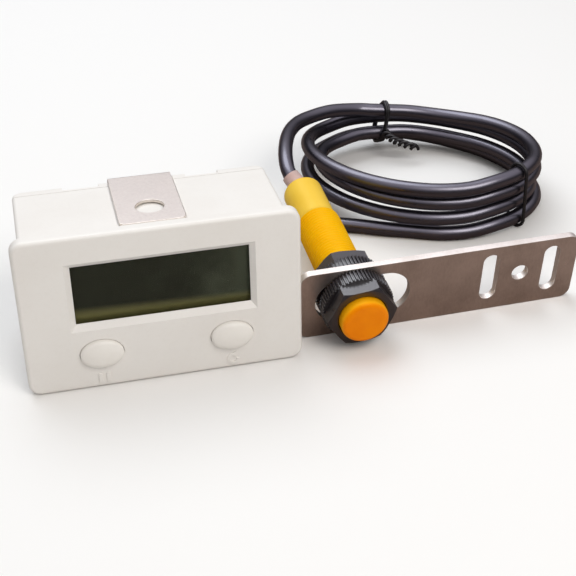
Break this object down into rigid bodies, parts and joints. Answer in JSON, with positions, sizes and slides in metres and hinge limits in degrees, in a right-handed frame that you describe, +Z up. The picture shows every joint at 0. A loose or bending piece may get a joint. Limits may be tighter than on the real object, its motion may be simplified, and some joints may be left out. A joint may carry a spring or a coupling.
{
  "type": "magnetic induction counter",
  "caption": "Small panel counter with a display and two keys, wired to a threaded cylindrical sensor that two plastic nuts hold in a slotted steel bracket; the lead lies in a tied coil.",
  "frame": {"origin": "on the table under the middle of the rigid pieces' box", "axes": "+X to the right seen from the display, +Y to the rear, +Z up; the display looks along -Y and the counter leans back by 3.8 degrees, as it rests on its bezel and clip"},
  "size_m": [0.1548, 0.1081, 0.0405],
  "materials": {
    "white_abs": "fine-textured moulded ABS, warm white",
    "key_white": "smooth moulded, warm white",
    "clear_window": "clear polished acrylic",
    "display_dark": "dark green-black liquid crystal glass with an olive band",
    "holder_white": "plain moulded",
    "rubber_grey": "matte grey rubber",
    "board_green": "green solder-masked glass fibre board",
    "switch_black": "matte black",
    "zinc_steel": "bright plated steel",
    "clip_steel": "dull plated spring steel",
    "cell_sleeve": "plain printed sleeve without marks",
    "barrel_yellow": "yellow-orange moulded plastic",
    "cap_orange": "orange moulded plastic",
    "nut_black": "black moulded nylon",
    "relief_grey": "grey-pink soft plastic",
    "cable_black": "satin black cable sheath",
    "tie_black": "black plastic-covered wire"
  },
  "bodies": {
    "counter": {"front_housing": "white_abs", "rear_cover": "white_abs", "pause_switch": "switch_black", "reset_switch": "switch_black", "counter_chip": "switch_black", "display_window": "clear_window", "display_glass": "display_dark", "display_holder": "holder_white", "elastomer_strip": "rubber_grey", "circuit_board": "board_green", "sensor_board": "board_green", "battery_cell": "cell_sleeve", "battery_contact": "zinc_steel", "battery_spring": "zinc_steel", "board_screw_1": "zinc_steel", "board_screw_2": "zinc_steel", "board_screw_3": "zinc_steel", "board_screw_4": "zinc_steel", "cover_screw_1": "zinc_steel", "cover_screw_2": "zinc_steel", "cable_gland": "rubber_grey", "sensor_barrel": "barrel_yellow", "sensing_cap": "cap_orange", "reed_switch": "clear_window", "strain_relief": "relief_grey", "cable_lead": "cable_black", "cable_coil": "cable_black", "cable_tail": "cable_black", "rear_coil_tie": "tie_black", "side_coil_tie": "tie_black"},
    "pause_key": {"pause_button": "key_white", "pause_plunger": "switch_black"},
    "reset_key": {"reset_button": "key_white", "reset_plunger": "switch_black"},
    "clip": {"panel_clip": "clip_steel"},
    "bracket": {"bracket_plate": "zinc_steel"},
    "front_nut": {"front_nut": "nut_black"},
    "rear_nut": {"rear_nut": "nut_black"}
  },
  "joints": [
    {"name": "pause_button_press", "type": "slide", "parent": "counter", "child": "pause_key", "axis": [0, 0.9978, -0.0668], "range_m": [0, 0.0006], "stiffness_N_per_m": 800},
    {"name": "reset_button_press", "type": "slide", "parent": "counter", "child": "reset_key", "axis": [0, 0.9978, -0.0668], "range_m": [0, 0.0006], "stiffness_N_per_m": 800},
    {"name": "panel_clip_slide", "type": "slide", "parent": "counter", "child": "clip", "axis": [0, 0.9978, -0.0668], "range_m": [0, 0.03]},
    {"name": "bracket_slide", "type": "slide", "parent": "counter", "child": "bracket", "axis": [0.9997, 0.0248, 0], "range_m": [-0.0023, 0.0034]},
    {"name": "front_nut_turn", "type": "hinge", "parent": "counter", "child": "front_nut", "pos_m": [0.01059, -0.02277, 0.01012], "axis": [-0.0247, 0.9963, 0.0819], "continuous": true},
    {"name": "rear_nut_turn", "type": "hinge", "parent": "counter", "child": "rear_nut", "pos_m": [0.01036, -0.0136, 0.01087], "axis": [-0.0247, 0.9963, 0.0819], "continuous": true}
  ]
}
